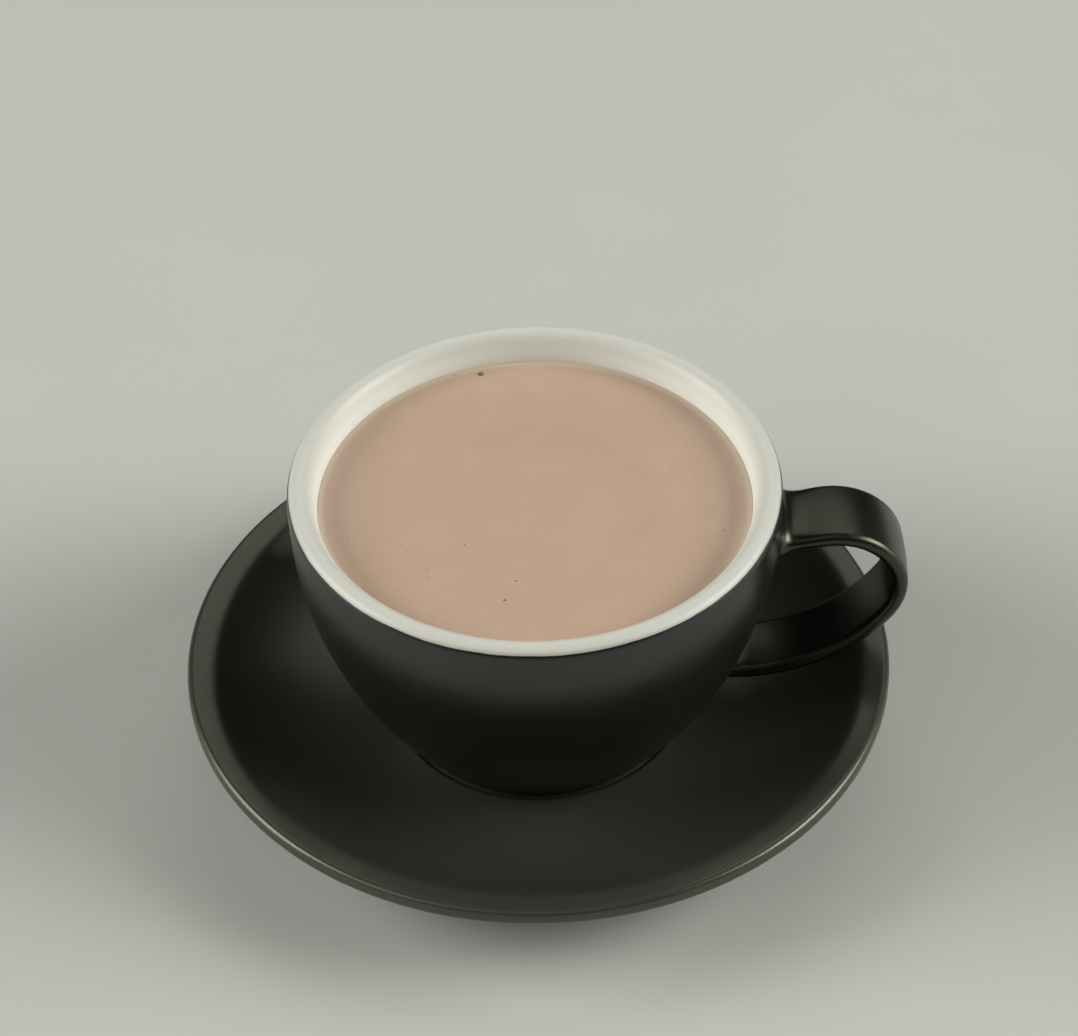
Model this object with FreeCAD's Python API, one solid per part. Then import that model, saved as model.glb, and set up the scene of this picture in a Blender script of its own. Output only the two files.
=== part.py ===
import FreeCAD, Part
import math
import os

# A cup of hot chocolate on its saucer, in millimetres. The origin is on the axis of the bowl, at the
# surface the saucer stands on. +Z is up, and the handle points along +X.

# Bowl of the cup, fired in one piece with its handle
rim_radius = 48.0                # outside of the bowl, just under the lip
cup_height = 60.0                # from the foot of the cup to the crest of the lip
lip_round = 2.4                  # radius of the lip's outer corner
lip_inner_run = 3.3              # how far the lip reaches inwards from its crest
lip_inner_drop = 6.0             # how far it falls on that way
bowl_base_radius = 29.0          # where the belly of the bowl meets its foot
belly_power = 2.2                # 2 is a parabola, more is a fuller belly
cup_floor_radius = 23.5          # flat floor inside the bowl
cup_floor_thickness = 5.0
cup_foot_radius = 27.6           # outside of the foot ring
cup_foot_width = 3.6
cup_foot_height = 1.8
cup_foot_round = 0.8

# Hot chocolate
drink_below_rim = 6.1            # from the crest of the lip down to the surface of the drink

# Saucer
saucer_radius = 70.8
saucer_height = 20.75
saucer_lip_thickness = 3.5
saucer_corner_round = 1.2        # both corners of the lip's outer edge
saucer_lip_width = 5.3           # level band round the edge
saucer_lip_fall = 0.5            # the band falls this much to its inner border
saucer_foot_radius = 43.5        # outside of the foot ring
saucer_foot_width = 5.0
saucer_foot_height = 2.2
saucer_foot_round = 0.8
saucer_floor_thickness = 4.6     # under the cup
seat_depth = 1.0                 # the cup stands in a shallow seat
seat_clearance = 1.0             # round the foot ring of the cup
seat_slope_run = 1.0             # width of the step at the edge of the seat
well_power = 2.0                 # the well rises to the lip as a parabola

# Handle, a flat strap bent to an ear
strap_thickness = 3.6
strap_width_top = 16.0
strap_width_bottom = 14.0
strap_edge_round = 1.5
edge_round_share = 0.45          # at most this share of the thickness, so that both rounds fit on a side
strap_rise = 9.0                 # degrees by which the top of the strap climbs away from the bowl
handle_reach = 25.2              # from the outside of the rim to the outside of the strap
handle_top_drop = 9.5            # from the crest of the lip to the highest point of the strap
handle_foot_rise = 10.27         # from the foot of the cup to the lowest point of the strap
finger_bend_radius = 13.1        # centre line of the strap at the outer bend
finger_bend_end = 33.0           # degrees below level at which the bend opens into the sweep
root_depth = 3.0                 # how deep both ends of the strap sink into the wall of the bowl
root_fillet = 2.2                # clay worked into the joint all round both roots

curve_points = 13                # points along each curved profile

# Levels that follow from the sizes above
seat_z = saucer_foot_height + saucer_floor_thickness
well_z = seat_z + seat_depth
rim_z = seat_z + cup_height
lip_centre_z = rim_z - lip_round
bowl_base_z = seat_z + cup_foot_height
cup_floor_z = bowl_base_z + cup_floor_thickness
drink_z = rim_z - drink_below_rim
crest_radius = rim_radius - lip_round
inner_wall_radius = crest_radius - lip_inner_run
inner_wall_z = rim_z - lip_inner_drop
finger_bend_x = rim_radius + handle_reach - strap_thickness / 2 - finger_bend_radius
finger_bend_z = rim_z - handle_top_drop - strap_thickness / 2 - finger_bend_radius
strap_low_z = seat_z + handle_foot_rise + strap_thickness / 2


def point(radius, z):
    return FreeCAD.Vector(radius, 0, z)


def line(start, end):
    return Part.LineSegment(start, end).toShape()


def arc(centre, radius, first, middle, last):
    """Arc through three directions, given in degrees, about a centre in the XZ plane."""
    on_arc = [centre + FreeCAD.Vector(math.cos(a), 0, math.sin(a)) * radius
              for a in (math.radians(first), math.radians(middle), math.radians(last))]
    return Part.Arc(*on_arc).toShape()


def curve(points):
    spline = Part.BSplineCurve()
    spline.interpolate(points)
    return spline.toShape()


def bowl_radius(depth, base_radius, top_radius):
    """Radius of a bowl that narrows with a power of its depth, from 0 at the top to 1 at the base."""
    return base_radius + (top_radius - base_radius) * (1 - depth ** belly_power)


def bowl_curve(top_radius, top_z, base_radius, base_z):
    points = []
    for i in range(curve_points):
        depth = i / (curve_points - 1)
        points.append(point(bowl_radius(depth, base_radius, top_radius), top_z + (base_z - top_z) * depth))
    return curve(points)


def turned(edges):
    """Solid turned on the axis from a closed outline. Its seam lies away from the handle, along -X."""
    face = Part.Face(Part.Wire(Part.__sortEdges__(edges)))
    solid = face.revolve(FreeCAD.Vector(0, 0, 0), FreeCAD.Vector(0, 0, 1), 360)
    solid.rotate(FreeCAD.Vector(0, 0, 0), FreeCAD.Vector(0, 0, 1), 180)
    return solid


def rounded_step(corner, radius, centre_side):
    """Quarter round at the foot of a ring. centre_side is 1 on its outer corner and -1 on its inner."""
    centre = corner + FreeCAD.Vector(-centre_side * radius, 0, radius)
    if centre_side > 0:
        return arc(centre, radius, 0, -45, -90)
    return arc(centre, radius, -90, -135, -180)


def lip_inner_curve():
    """Quarter ellipse from the crest of the lip down to the inner wall."""
    points = []
    for i in range(curve_points):
        turn = math.pi / 2 * i / (curve_points - 1)
        radius = crest_radius - lip_inner_run * math.sin(turn)
        points.append(point(radius, inner_wall_z + lip_inner_drop * math.cos(turn)))
    return curve(points)


def inner_outline():
    """From the crest of the lip down the inner wall and across the floor to the axis."""
    return [
        lip_inner_curve(),
        bowl_curve(inner_wall_radius, inner_wall_z, cup_floor_radius, cup_floor_z),
        line(point(cup_floor_radius, cup_floor_z), point(0, cup_floor_z)),
    ]


def bowl():
    foot_inner = cup_foot_radius - cup_foot_width
    r = cup_foot_round
    return turned(inner_outline() + [
        line(point(0, cup_floor_z), point(0, bowl_base_z)),
        line(point(0, bowl_base_z), point(foot_inner, bowl_base_z)),
        line(point(foot_inner, bowl_base_z), point(foot_inner, seat_z + r)),
        rounded_step(point(foot_inner, seat_z), r, -1),
        line(point(foot_inner + r, seat_z), point(cup_foot_radius - r, seat_z)),
        rounded_step(point(cup_foot_radius, seat_z), r, 1),
        line(point(cup_foot_radius, seat_z + r), point(cup_foot_radius, bowl_base_z)),
        line(point(cup_foot_radius, bowl_base_z), point(bowl_base_radius, bowl_base_z)),
        bowl_curve(rim_radius, lip_centre_z, bowl_base_radius, bowl_base_z),
        arc(point(crest_radius, lip_centre_z), lip_round, 0, 45, 90),
    ])


def bowl_cavity():
    """The space inside the bowl, from its floor to the crest of the lip."""
    return turned(inner_outline() + [
        line(point(0, cup_floor_z), point(0, rim_z)),
        line(point(0, rim_z), point(crest_radius, rim_z)),
    ])


def outer_wall_radius(z):
    depth = (lip_centre_z - z) / (lip_centre_z - bowl_base_z)
    return bowl_radius(depth, bowl_base_radius, rim_radius)


def direction(degrees):
    """Unit vector in the XZ plane, that many degrees above level, pointing away from the bowl."""
    turn = math.radians(degrees)
    return FreeCAD.Vector(math.cos(turn), 0, math.sin(turn))


def inwards_to_wall(start, slope):
    """Vector from a point of the strap into the wall of the bowl, back along its slope in degrees."""
    reach = start.x - outer_wall_radius(start.z) + root_depth
    return direction(slope) * (-reach / math.cos(math.radians(slope)))


def lower_sweep_radius():
    """Radius of the arc that leaves the finger bend on its slope and reaches the lowest level of the strap."""
    drop = math.sin(math.radians(finger_bend_end))
    return (finger_bend_z - finger_bend_radius * drop - strap_low_z) / (1 - drop)


def strap_outline():
    """Side view of the strap: a straight top, a finger bend and a wide sweep back to the bowl."""
    half = strap_thickness / 2
    bend = finger_bend_radius
    sweep = lower_sweep_radius()
    bend_centre = point(finger_bend_x, finger_bend_z)
    sweep_centre = bend_centre + direction(-finger_bend_end) * (bend - sweep)
    bend_start = 90 + strap_rise
    top_run = inwards_to_wall(bend_centre + direction(bend_start) * bend, strap_rise)
    low_run = inwards_to_wall(sweep_centre + direction(-90) * sweep, 0)

    def side(offset):
        """One side of the strap, its ends, and the edges between them."""
        top = bend_centre + direction(bend_start) * (bend + offset)
        low = sweep_centre + direction(-90) * (sweep + offset)
        edges = [
            line(top + top_run, top),
            arc(bend_centre, bend + offset, bend_start, (bend_start - finger_bend_end) / 2, -finger_bend_end),
            arc(sweep_centre, sweep + offset, -finger_bend_end, -(finger_bend_end + 90) / 2, -90),
            line(low, low + low_run),
        ]
        return top + top_run, low + low_run, edges

    outer_top, outer_low, outer = side(half)
    inner_top, inner_low, inner = side(-half)
    ends = [line(outer_top, inner_top), line(outer_low, inner_low)]
    return Part.Wire(Part.__sortEdges__(outer + inner + ends))


def strap():
    """The strap, wider at its top than at its bottom, with all its long edges rounded."""
    outline = Part.Face(strap_outline())
    outline.translate(FreeCAD.Vector(0, -strap_width_top, 0))
    block = outline.extrude(FreeCAD.Vector(0, 2 * strap_width_top, 0))
    box = block.BoundBox
    corners = [
        FreeCAD.Vector(box.XMin - 1, -strap_width_bottom / 2, box.ZMin),
        FreeCAD.Vector(box.XMin - 1, strap_width_bottom / 2, box.ZMin),
        FreeCAD.Vector(box.XMin - 1, strap_width_top / 2, box.ZMax),
        FreeCAD.Vector(box.XMin - 1, -strap_width_top / 2, box.ZMax),
    ]
    taper = Part.Face(Part.makePolygon(corners + corners[:1])).extrude(FreeCAD.Vector(box.XLength + 2, 0, 0))
    band = block.common(taper).Solids[0]
    long_edges = [edge for edge in band.Edges if abs(edge.Vertexes[0].Y - edge.Vertexes[-1].Y) < 2
                  and edge.Length > strap_thickness + 1]
    return band.makeFillet(min(strap_edge_round, edge_round_share * strap_thickness), long_edges)


def cup():
    """Bowl and handle as one piece, with a fillet of clay round both roots of the handle."""
    handle = strap().cut(bowl_cavity()).Solids[0]
    joined = bowl().fuse(handle).removeSplitter().Solids[0]
    outer_wall = [face for face in joined.Faces if len(face.Wires) == 3][0]
    roots = [wire for wire in outer_wall.Wires if not wire.isSame(outer_wall.OuterWire)]
    return joined.makeFillet(root_fillet, [edge for root in roots for edge in root.Edges]).Solids[0]


def hot_chocolate():
    """The drink fills the bowl from its floor to the level shown."""
    level = Part.makeCylinder(rim_radius, drink_z)
    return bowl_cavity().common(level).Solids[0]


def well_curve():
    """Upper side of the saucer, from the edge of the seat to the band round its lip."""
    start = cup_foot_radius + seat_clearance + seat_slope_run
    end = saucer_radius - saucer_lip_width
    rise = saucer_height - saucer_lip_fall - well_z
    points = []
    for i in range(curve_points):
        share = i / (curve_points - 1)
        points.append(point(start + (end - start) * share, well_z + rise * share ** well_power))
    return curve(points)


def saucer():
    seat_radius = cup_foot_radius + seat_clearance
    corner = saucer_corner_round
    edge_radius = saucer_radius - corner
    lip_top = saucer_height - corner
    lip_bottom = saucer_height - saucer_lip_thickness + corner
    foot_inner = saucer_foot_radius - saucer_foot_width
    r = saucer_foot_round
    band_start = point(saucer_radius - saucer_lip_width, saucer_height - saucer_lip_fall)
    return turned([
        line(point(0, seat_z), point(seat_radius, seat_z)),
        line(point(seat_radius, seat_z), point(seat_radius + seat_slope_run, well_z)),
        well_curve(),
        line(band_start, point(edge_radius, saucer_height)),
        arc(point(edge_radius, lip_top), corner, 90, 45, 0),
        line(point(saucer_radius, lip_top), point(saucer_radius, lip_bottom)),
        arc(point(edge_radius, lip_bottom), corner, 0, -45, -90),
        line(point(edge_radius, lip_bottom - corner), point(saucer_foot_radius, saucer_foot_height)),
        line(point(saucer_foot_radius, saucer_foot_height), point(saucer_foot_radius, r)),
        rounded_step(point(saucer_foot_radius, 0), r, 1),
        line(point(saucer_foot_radius - r, 0), point(foot_inner + r, 0)),
        rounded_step(point(foot_inner, 0), r, -1),
        line(point(foot_inner, r), point(foot_inner, saucer_foot_height)),
        line(point(foot_inner, saucer_foot_height), point(0, saucer_foot_height)),
        line(point(0, saucer_foot_height), point(0, seat_z)),
    ])


os.makedirs("parts", exist_ok=True)
for name, shape in (("cup", cup()), ("hot_chocolate", hot_chocolate()), ("saucer", saucer())):
    shape.exportStep("parts/" + name + ".step")
    print(name, shape.ShapeType, shape.isValid(), round(shape.Volume), shape.BoundBox)
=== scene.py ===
# %% [markdown]
# # A cup of hot chocolate on its saucer
#
# A low, round coffee cup with a wide strap handle stands on its saucer, filled with milky hot
# chocolate. Cup and saucer wear a satin black glaze, and the bowl is ivory white inside and over
# its lip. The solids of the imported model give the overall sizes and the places. Blender adds what
# a fired glaze and a drink look like.

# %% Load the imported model
import math

import bpy
import numpy as np
from mathutils import Matrix, Vector


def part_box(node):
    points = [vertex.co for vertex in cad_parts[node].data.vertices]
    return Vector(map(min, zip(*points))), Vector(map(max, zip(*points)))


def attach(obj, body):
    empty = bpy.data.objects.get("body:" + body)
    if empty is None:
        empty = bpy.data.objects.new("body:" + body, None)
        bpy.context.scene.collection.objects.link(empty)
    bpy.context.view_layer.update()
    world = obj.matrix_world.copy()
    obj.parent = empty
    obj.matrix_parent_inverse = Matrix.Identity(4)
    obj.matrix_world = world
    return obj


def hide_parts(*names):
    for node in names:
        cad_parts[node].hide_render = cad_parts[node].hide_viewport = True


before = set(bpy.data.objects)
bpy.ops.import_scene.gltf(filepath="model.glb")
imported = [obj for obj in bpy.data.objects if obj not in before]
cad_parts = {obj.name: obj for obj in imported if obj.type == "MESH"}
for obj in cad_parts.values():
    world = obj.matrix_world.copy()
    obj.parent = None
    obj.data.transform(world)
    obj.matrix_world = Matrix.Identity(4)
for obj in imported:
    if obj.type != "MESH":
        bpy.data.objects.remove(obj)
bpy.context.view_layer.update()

# %% [markdown]
# ## Sizes
#
# Everything is in metres, with Z up on the axis of the bowl and the handle along +X. A size that a
# node's box shows is read from it, so that a changed model brings its looks with it. The rest are
# the potter's own sizes: how the lip turns over, how full the belly is, how the strap is bent.

# %% Sizes of the cup, the drink and the saucer
mm = 0.001

cup_low, cup_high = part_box("cup")
drink_low, drink_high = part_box("hot_chocolate")
saucer_low, saucer_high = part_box("saucer")

seat_z = cup_low.z
rim_z = cup_high.z
rim_radius = -cup_low.x
handle_tip = cup_high.x
floor_z = drink_low.z
drink_z = drink_high.z
saucer_radius = -saucer_low.x
saucer_height = saucer_high.z

lip_round = 2.4 * mm
lip_inner_run = 3.3 * mm
lip_inner_drop = 6.0 * mm
bowl_base_radius = 29.0 * mm
belly_power = 2.2
cup_floor_radius = 23.5 * mm
cup_foot_radius = 27.6 * mm
cup_foot_width = 3.6 * mm
cup_foot_height = 1.8 * mm

saucer_lip_thickness = 3.5 * mm
saucer_lip_width = 5.3 * mm
saucer_lip_fall = 0.5 * mm
saucer_corner_round = 1.2 * mm
saucer_foot_radius = 43.5 * mm
saucer_foot_width = 5.0 * mm
saucer_foot_height = 2.2 * mm
seat_depth = 1.0 * mm
seat_clearance = 1.0 * mm
seat_slope_run = 1.0 * mm
foot_edge_round = 0.8 * mm

seat_radius = cup_foot_radius + seat_clearance
bowl_base_z = seat_z + cup_foot_height
lip_centre_z = rim_z - lip_round
crest_radius = rim_radius - lip_round
inner_wall_radius = crest_radius - lip_inner_run
inner_wall_z = rim_z - lip_inner_drop
print("rim", rim_radius, "at", rim_z, "drink at", drink_z)
print("saucer", saucer_radius, "by", saucer_height)

# %% [markdown]
# ## Skins over rings
#
# Cup, saucer, drink, handle and bubbles are all closed skins over a stack of rings. A ring is a
# row of points that closes on itself, neighbouring rings are joined by quads, and each end closes
# in a fan about one pole. Numbering the corners with whole arrays keeps this quick, and the
# enclosed volume, which has to be positive, shows that the faces point outwards.

# %% Make a closed mesh from rings
def fan(edge_start, edge_end, tip):
    """Triangles from each edge of a ring to one pole."""
    return np.stack([edge_start, edge_end, np.full_like(edge_start, tip)], axis=-1)


def ring_faces(rings, around):
    """Quads between neighbouring rings, and a fan at each end.

    The rings are numbered one after another, and so are the vertices of each. The two poles come
    after the last ring.
    """
    here = np.arange(around)
    after = np.roll(here, -1)
    row = (np.arange(rings - 1) * around)[:, None]
    quads = np.stack([here + row, after + row, after + row + around, here + row + around], axis=-1)
    last_row = (rings - 1) * around
    first_tip = rings * around
    triangles = np.concatenate([fan(after, here, first_tip),
                                fan(here + last_row, after + last_row, first_tip + 1)])
    return quads.reshape(-1, 4), triangles


def make_mesh(name, vertices, quads, triangles):
    """A smooth-shaded object from arrays of vertices, four-cornered and three-cornered faces."""
    mesh = bpy.data.meshes.new(name)
    corners = np.concatenate([quads.ravel(), triangles.ravel()])
    sizes = np.concatenate([np.full(len(quads), 4), np.full(len(triangles), 3)])
    starts = np.concatenate([[0], np.cumsum(sizes)[:-1]])
    mesh.vertices.add(len(vertices))
    mesh.loops.add(len(corners))
    mesh.polygons.add(len(sizes))
    mesh.vertices.foreach_set("co", vertices.astype(np.float32).ravel())
    mesh.loops.foreach_set("vertex_index", corners.astype(np.int32))
    mesh.polygons.foreach_set("loop_start", starts.astype(np.int32))
    mesh.polygons.foreach_set("use_smooth", np.ones(len(sizes), bool))
    mesh.update(calc_edges=True)
    mesh.validate()
    piece = bpy.data.objects.new(name, mesh)
    bpy.context.scene.collection.objects.link(piece)
    return piece


def enclosed_volume(vertices, quads, triangles):
    """Volume inside a closed skin: a sixth of the sum of every triangle's triple product."""
    halves = np.concatenate([quads[:, [0, 1, 2]], quads[:, [0, 2, 3]], triangles])
    a, b, c = (vertices[halves[:, corner]] for corner in range(3))
    return float(np.einsum("ij,ij->i", a, np.cross(b, c)).sum() / 6)


def skin(name, rings, first_pole, last_pole):
    """Closed piece over rings of the shape (rings, points round, 3), with a pole at each end."""
    vertices = np.concatenate([rings.reshape(-1, 3), [first_pole, last_pole]])
    quads, triangles = ring_faces(rings.shape[0], rings.shape[1])
    volume = enclosed_volume(vertices, quads, triangles)
    print(name, 2 * len(quads) + len(triangles), "triangles")
    print(name, "encloses", round(volume * 1e6, 1), "cubic centimetres")
    return make_mesh(name, vertices, quads, triangles)


# %% [markdown]
# ## Turned profiles
#
# The bowl, the drink and the saucer are thrown and turned on a wheel, so each is a profile swept
# round the axis. The profile is drawn with true corners. Glaze then flows while it melts and takes
# the sharpness off every edge, which a short moving average along the profile copies. The points
# are spread by length and by turning, so that a straight wall has few and a tight lip many.

# %% Draw, ease and sweep a profile
points_around = 256
longest_stretch = 1.6 * mm
sharpest_turn = 5.0
bell_reaches = 4


def line_points(start, end, count=2):
    """Evenly spaced points from one (radius, height) to another."""
    share = np.linspace(0, 1, count)[:, None]
    return np.array(start) * (1 - share) + np.array(end) * share


def arc_points(centre, radius, first, last, count=24):
    """Points on a circle about a centre, from the first direction to the last, in degrees."""
    turn = np.radians(np.linspace(first, last, count))
    return np.array(centre) + radius * np.stack([np.cos(turn), np.sin(turn)], axis=-1)


def path_length(points):
    """Distance along a line of points, from its first point to each."""
    steps = np.linalg.norm(np.diff(points, axis=0), axis=1)
    return np.concatenate([[0], np.cumsum(steps)])


def at_lengths(points, lengths):
    """Points of a line at the given distances along it."""
    along = path_length(points)
    return np.stack([np.interp(lengths, along, column) for column in points.T], axis=-1)


def ease(points, reach, spacing=0.05 * mm):
    """A line with its corners softened.

    Each point becomes the mean of its neighbours, weighted by a bell curve whose width is the
    reach. Both ends are held by carrying the line straight on past them.
    """
    along = path_length(points)
    lengths = np.arange(0, along[-1], spacing)
    even = at_lengths(points, np.append(lengths, along[-1]))
    wing = int(bell_reaches * reach / spacing)
    steps = np.arange(1, wing + 1)[:, None]
    before = even[0] - (even[1] - even[0]) * steps[::-1]
    after = even[-1] + (even[-2] - even[-3]) * steps
    long = np.concatenate([before, even, after])
    bell = np.exp(-0.5 * (np.arange(-wing, wing + 1) * spacing / reach) ** 2)
    bell = bell / bell.sum()
    eased = np.stack([np.convolve(column, bell, mode="valid") for column in long.T], axis=-1)
    eased[0] = even[0]
    eased[-1] = even[-1]
    return eased


def spread(points):
    """Fewer points on a line, with no stretch over the longest and no turn over the sharpest.

    Each stretch counts for its length over the longest stretch, plus its turn over the sharpest
    turn, and the new points are even in that count.
    """
    step = np.diff(points, axis=0)
    heading = np.unwrap(np.arctan2(step[:, 1], step[:, 0]))
    turn = np.abs(np.diff(heading, prepend=heading[0]))
    length = np.linalg.norm(step, axis=1)
    count = length / longest_stretch + np.degrees(turn) / sharpest_turn
    total = np.concatenate([[0], np.cumsum(count)])
    places = np.linspace(0, total[-1], int(math.ceil(total[-1])) + 1)
    return np.stack([np.interp(places, total, column) for column in points.T], axis=-1)


def turned(profile):
    """Rings for a profile of (radius, height) swept round the Z axis.

    x and y are the radius times the cosine and sine of the turn, and z is the height. The two ends
    of the profile lie on the axis and become poles.
    """
    turn = np.linspace(0, 2 * np.pi, points_around, endpoint=False)
    radius = profile[1:-1, 0][:, None]
    height = np.broadcast_to(profile[1:-1, 1][:, None], (len(profile) - 2, points_around))
    return np.stack([radius * np.cos(turn), radius * np.sin(turn), height], axis=-1)


def pole(profile, end):
    """The point on the axis at one end of a profile."""
    return np.array([0, 0, profile[end, 1]])


def bowl_curve(top_radius, top_z, base_radius, base_z, count=160):
    """Wall of the bowl from its top to its base.

    The radius is the base radius, plus the rest times one less a power of the depth.
    """
    depth = np.linspace(0, 1, count)
    radius = base_radius + (top_radius - base_radius) * (1 - depth ** belly_power)
    return np.stack([radius, top_z + (base_z - top_z) * depth], axis=-1)


eased_slope = ease(line_points((0, 0), (mm, mm)), 0.2 * mm)
print("an eased line keeps its ends:", eased_slope[[0, -1]])

# %% [markdown]
# ## Shader sums in plain Python
#
# A finish is worked out from a few masks and noises. Wrapping each socket in a small class lets
# Python's own signs stand for Math nodes, so a mask reads like the sum it is. Everything else,
# from a noise to the shader itself, comes from one method that takes the kind of node, its
# settings and its inputs.

# %% The socket class and the finish class
MIX_FACTOR = 0
MIX_FIRST = 6
MIX_SECOND = 7
MIX_RESULT = 2


class Value:
    """One output of a shader node, for sums written in Python."""

    def __init__(self, finish, socket):
        self.finish = finish
        self.socket = socket

    def sum(self, operation, first, second):
        """One Math node on two values or numbers."""
        settings = {"operation": operation}
        return self.finish.node("ShaderNodeMath", settings, {0: first, 1: second})

    def __add__(self, other):
        return self.sum("ADD", self, other)

    def __radd__(self, other):
        return self.sum("ADD", other, self)

    def __sub__(self, other):
        return self.sum("SUBTRACT", self, other)

    def __rsub__(self, other):
        return self.sum("SUBTRACT", other, self)

    def __mul__(self, other):
        return self.sum("MULTIPLY", self, other)

    def __rmul__(self, other):
        return self.sum("MULTIPLY", other, self)

    def __truediv__(self, other):
        return self.sum("DIVIDE", self, other)

    def __rtruediv__(self, other):
        return self.sum("DIVIDE", other, self)

    def __pow__(self, other):
        return self.sum("POWER", self, other)

    def __rpow__(self, other):
        return self.sum("POWER", other, self)


class Finish:
    """The nodes of one material."""

    def __init__(self, name):
        self.material = bpy.data.materials.new(name)
        self.material.use_nodes = True
        self.nodes = self.material.node_tree.nodes
        self.links = self.material.node_tree.links
        self.nodes.clear()
        self.place = self.node("ShaderNodeTexCoord", output="Object")

    def node(self, kind, settings=None, inputs=None, output=0):
        """Adds a node and returns one of its outputs.

        The settings are made first, and then the values or links of the inputs.
        """
        node = self.nodes.new(kind)
        for setting, choice in (settings or {}).items():
            setattr(node, setting, choice)
        for name, value in (inputs or {}).items():
            if isinstance(value, Value):
                self.links.new(value.socket, node.inputs[name])
            else:
                node.inputs[name].default_value = value
        return Value(self, node.outputs[output]) if len(node.outputs) else None

    def noise(self, size, detail=2.0):
        """Cloudy noise from 0 to 1, whose patches are about this size in metres."""
        inputs = {"Vector": self.place, "Scale": 1 / size, "Detail": detail}
        return self.node("ShaderNodeTexNoise", {"noise_dimensions": "3D"}, inputs)

    def step(self, value, start, end):
        """Smooth step from 0 at the start to 1 at the end."""
        settings = {"interpolation_type": "SMOOTHSTEP"}
        inputs = {"Value": value, "From Min": start, "From Max": end}
        return self.node("ShaderNodeMapRange", settings, inputs)

    def mix(self, factor, first, second):
        """Colour that goes from the first to the second as the factor goes from 0 to 1."""
        inputs = {MIX_FACTOR: factor, MIX_FIRST: first, MIX_SECOND: second}
        return self.node("ShaderNodeMix", {"data_type": "RGBA"}, inputs, MIX_RESULT)

    def axes(self):
        """The x, y and z of a point on the piece."""
        split = self.node("ShaderNodeSeparateXYZ", inputs={"Vector": self.place})
        return [Value(self, socket) for socket in split.socket.node.outputs]

    def attribute(self, name):
        """The number that a piece stores for each vertex under this name."""
        return self.node("ShaderNodeAttribute", {"attribute_name": name}, output="Fac")

    def bump(self, height, distance):
        """Normal of a surface raised by a height from 0 to 1 times a distance in metres."""
        inputs = {"Height": height, "Distance": distance, "Strength": 1.0}
        return self.node("ShaderNodeBump", inputs=inputs)

    def surface(self, **inputs):
        """Closes the material with one Principled shader. An underscore stands for a space."""
        named = {name.replace("_", " "): value for name, value in inputs.items()}
        shader = self.node("ShaderNodeBsdfPrincipled", inputs=named)
        self.node("ShaderNodeOutputMaterial", inputs={"Surface": shader})
        return self.material


def colour(red, green, blue):
    """A solid colour from its three shares of light."""
    return (red, green, blue, 1.0)


print("sums are written as", Value.__name__, "of a", Finish.__name__)

# %% [markdown]
# ## Black glaze
#
# The outside of the cup and the whole saucer have a satin black glaze with a faint green-grey
# cast. A satin glaze is matt because its surface is covered in tiny crystals, so the gloss is
# broad and soft. It isn't quite even: the crystals grow in patches, which shows as a slightly
# changing roughness, and the melt leaves a ripple far finer than a fingertip feels. Where a sharp
# edge let the glaze run thin, it is a little paler. One function gives these facts to every piece
# that wears the glaze. Only the body colour is passed to it. The saucer's copy of the black is
# painted paler and the cup's darker: the same glaze, with painted light on the saucer and painted
# shade on the cup.

# %% Black glaze
# Two copies of one black: the cup's is darkened as painted shade, the saucer's paled as painted
# light.
cup_black_shaded = colour(0.0056, 0.0060, 0.0046)
saucer_black_lit = colour(0.0325, 0.0360, 0.0295)
# Paler black for thinned glaze on edges, and for the painted sheen on the saucer's band.
black_thin_and_sheen = colour(0.0400, 0.0415, 0.0350)
black_specular_tint = colour(0.93, 1.0, 0.80)
black_roughness = 0.30
patchy_roughness = 0.10
crystal_roughness = 0.05
patch_size = 14 * mm
crystal_size = 0.35 * mm
ripple_size = 3.0 * mm
glaze_relief = 0.02 * mm
worn_start = 0.75
worn_full = 1.30
glaze_ior = 1.62


def black_glaze(finish, body):
    """Colour, roughness and height of the black glaze.

    The attribute thin is 1 where an edge thins the glaze, and on the saucer's band it also
    carries painted sheen. A noise frays its limit.
    """
    frayed = finish.attribute("thin") + 0.3 * finish.noise(2.5 * mm)
    thin = finish.step(frayed, worn_start, worn_full)
    cloud = finish.noise(patch_size, 4.0)
    crystals = finish.noise(crystal_size, 2.0)
    tone = finish.mix(thin, body, black_thin_and_sheen)
    roughness = (black_roughness + patchy_roughness * (cloud - 0.5)
                 + crystal_roughness * (crystals - 0.5))
    height = 0.75 * finish.noise(ripple_size, 2.0) + 0.25 * crystals
    return tone, roughness, height


def glaze_material(name, body):
    """The black glaze by itself, over the body colour of one piece."""
    finish = Finish(name)
    tone, roughness, height = black_glaze(finish, body)
    normal = finish.bump(height, glaze_relief)
    return finish.surface(Base_Color=tone, Roughness=roughness, IOR=glaze_ior,
                          Specular_Tint=black_specular_tint, Normal=normal)


def set_attribute(piece, name, values):
    """Stores one number for each vertex of a piece, for its material to read."""
    layer = piece.data.attributes.new(name, "FLOAT", "POINT")
    layer.data.foreach_set("value", values.astype(np.float32))


def convexity(profile, sharp_radius=1.5 * mm):
    """How sharply a profile bends outwards at each point: the sharp radius over its own radius."""
    step = np.diff(profile, axis=0)
    heading = np.unwrap(np.arctan2(step[:, 1], step[:, 0]))
    length = np.linalg.norm(step, axis=1)
    bend = np.diff(heading) / (0.5 * (length[1:] + length[:-1]))
    return np.clip(np.concatenate([[0], bend, [0]]) * sharp_radius, 0, 1)


# The cup's copy carries painted shade, the saucer's copy painted light.
handle_black_shaded = glaze_material("cup_black_glaze_shaded", cup_black_shaded)
dish_black_lit = glaze_material("saucer_black_glaze_lit", saucer_black_lit)
print("black glaze has", len(dish_black_lit.node_tree.nodes), "nodes")

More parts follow.
